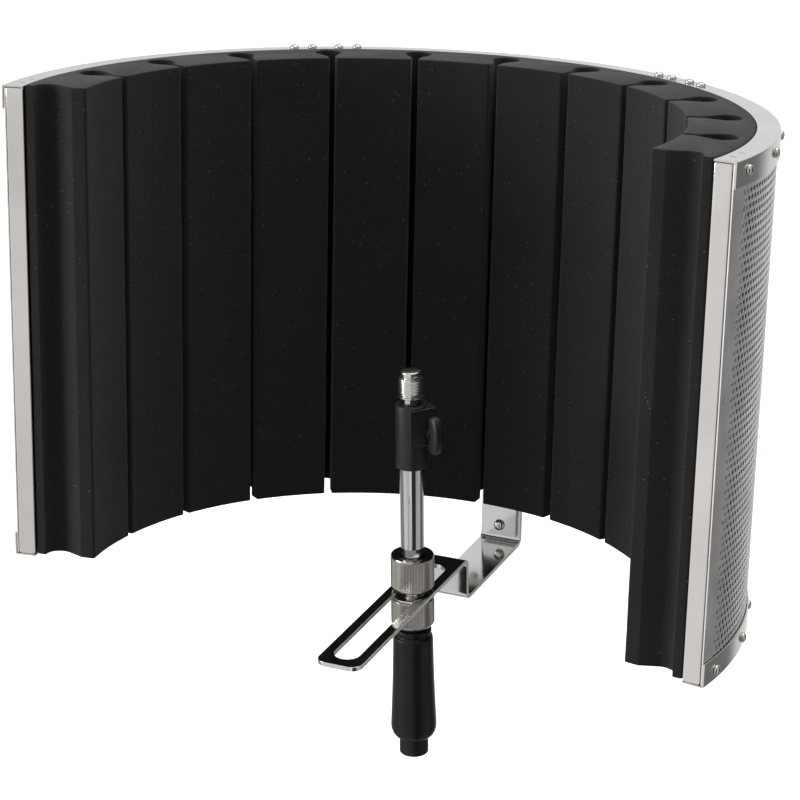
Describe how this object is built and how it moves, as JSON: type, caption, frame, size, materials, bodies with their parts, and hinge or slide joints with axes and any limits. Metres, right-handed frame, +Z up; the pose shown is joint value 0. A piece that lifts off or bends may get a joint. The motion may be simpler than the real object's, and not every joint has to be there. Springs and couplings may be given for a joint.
{
  "type": "microphone isolation shield",
  "caption": "Curved foam-lined microphone isolation shield in a bright metal frame, hung from a slotted bracket on a stand clutch with a sliding microphone post.",
  "frame": {"origin": "centre of the stub tube's lower end, on the post's axis", "axes": "+Z up along the post; -Y is the side the shield opens to, +Y its back; +X to the right when looking into the opening from -Y"},
  "size_m": [0.4646, 0.2983, 0.4472],
  "materials": {
    "foam": "matte open-cell foam",
    "felt": "matte felt",
    "perforated_metal": "satin, perforated",
    "plain_sheet": "satin",
    "frame_metal": "polished plating",
    "bracket_chrome": "polished, brushed edges",
    "hanger_chrome": "polished",
    "screw_metal": "plated, satin",
    "knurled_nickel": "nickel, fine straight knurl",
    "tube_chrome": "polished",
    "thread_nickel": "nickel, threaded",
    "grip_plastic": "satin",
    "collar_plastic": "satin",
    "collet_plastic": "matte",
    "black_tube": "satin powder coat"
  },
  "bodies": {
    "stand_stub": {"stub_tube": "black_tube", "clutch_collet": "collet_plastic"},
    "clutch": {"clutch_grip": "grip_plastic"},
    "height_tube": {"inner_tube": "tube_chrome", "threaded_stem": "tube_chrome", "extension_tube": "tube_chrome", "clamp_collar": "collar_plastic"},
    "lower_nut": {"lower_knurled_nut": "knurled_nickel"},
    "upper_nut": {"upper_knurled_nut": "knurled_nickel"},
    "swivel_washer": {"clamp_washer": "screw_metal"},
    "shield": {"bracket_bar": "bracket_chrome", "absorber_felt": "felt", "acoustic_foam": "foam", "backing_sheet": "plain_sheet", "bottom_flange_screw_1": "screw_metal", "bottom_flange_screw_2": "screw_metal", "bottom_flange_screw_3": "screw_metal", "bottom_flange_screw_4": "screw_metal", "bottom_flange_screw_5": "screw_metal", "bottom_flange_screw_6": "screw_metal", "bottom_flange_screw_7": "screw_metal", "bottom_flange_screw_8": "screw_metal", "bottom_lip_screw_1": "screw_metal", "bottom_lip_screw_2": "screw_metal", "bottom_lip_screw_3": "screw_metal", "bottom_lip_screw_4": "screw_metal", "bottom_rail_centre": "frame_metal", "bottom_rail_left": "frame_metal", "bottom_rail_right": "frame_metal", "bottom_splice_left": "frame_metal", "bottom_splice_right": "frame_metal", "end_channel_left": "frame_metal", "end_channel_right": "frame_metal", "hanger_bolt": "screw_metal", "hanger_foot_screw_1": "screw_metal", "hanger_foot_screw_2": "screw_metal", "hanger_nut": "screw_metal", "hanger_plate": "hanger_chrome", "perforated_shell": "perforated_metal", "top_flange_screw_1": "screw_metal", "top_flange_screw_2": "screw_metal", "top_flange_screw_3": "screw_metal", "top_flange_screw_4": "screw_metal", "top_flange_screw_5": "screw_metal", "top_flange_screw_6": "screw_metal", "top_flange_screw_7": "screw_metal", "top_flange_screw_8": "screw_metal", "top_lip_screw_1": "screw_metal", "top_lip_screw_2": "screw_metal", "top_lip_screw_3": "screw_metal", "top_lip_screw_4": "screw_metal", "top_rail_centre": "frame_metal", "top_rail_left": "frame_metal", "top_rail_right": "frame_metal", "top_splice_left": "frame_metal", "top_splice_right": "frame_metal"},
    "mic_rod": {"mic_rod": "tube_chrome", "thread_adapter": "thread_nickel"},
    "wing_screw": {"wing_screw": "screw_metal", "wing_knob": "collar_plastic"}
  },
  "joints": [
    {"name": "clutch_twist", "type": "hinge", "parent": "stand_stub", "child": "clutch", "pos_m": [0, 0, 0.05], "axis": [0, 0, 1], "range_deg": [-90, 90]},
    {"name": "stand_height", "type": "slide", "parent": "stand_stub", "child": "height_tube", "axis": [0, 0, 1], "range_m": [0, 0.03]},
    {"name": "lower_nut_turn", "type": "hinge", "parent": "height_tube", "child": "lower_nut", "pos_m": [0, 0, 0.1024], "axis": [0, 0, 1], "range_deg": [-90, 90]},
    {"name": "upper_nut_turn", "type": "hinge", "parent": "height_tube", "child": "upper_nut", "pos_m": [0, 0, 0.1304], "axis": [0, 0, 1], "range_deg": [-90, 90]},
    {"name": "shield_swivel", "type": "hinge", "parent": "height_tube", "child": "swivel_washer", "pos_m": [0, 0, 0.114], "axis": [0, 0, 1], "continuous": true},
    {"name": "bracket_slide", "type": "slide", "parent": "swivel_washer", "child": "shield", "axis": [0, 1, 0], "range_m": [-0.031, 0.097]},
    {"name": "mic_rod_slide", "type": "slide", "parent": "height_tube", "child": "mic_rod", "axis": [0, 0, 1], "range_m": [0, 0.05]},
    {"name": "wing_screw_turn", "type": "hinge", "parent": "height_tube", "child": "wing_screw", "pos_m": [0.00548, 0.00663, 0.2281], "axis": [0.7705, -0.6374, 0], "range_deg": [-90, 90]}
  ]
}
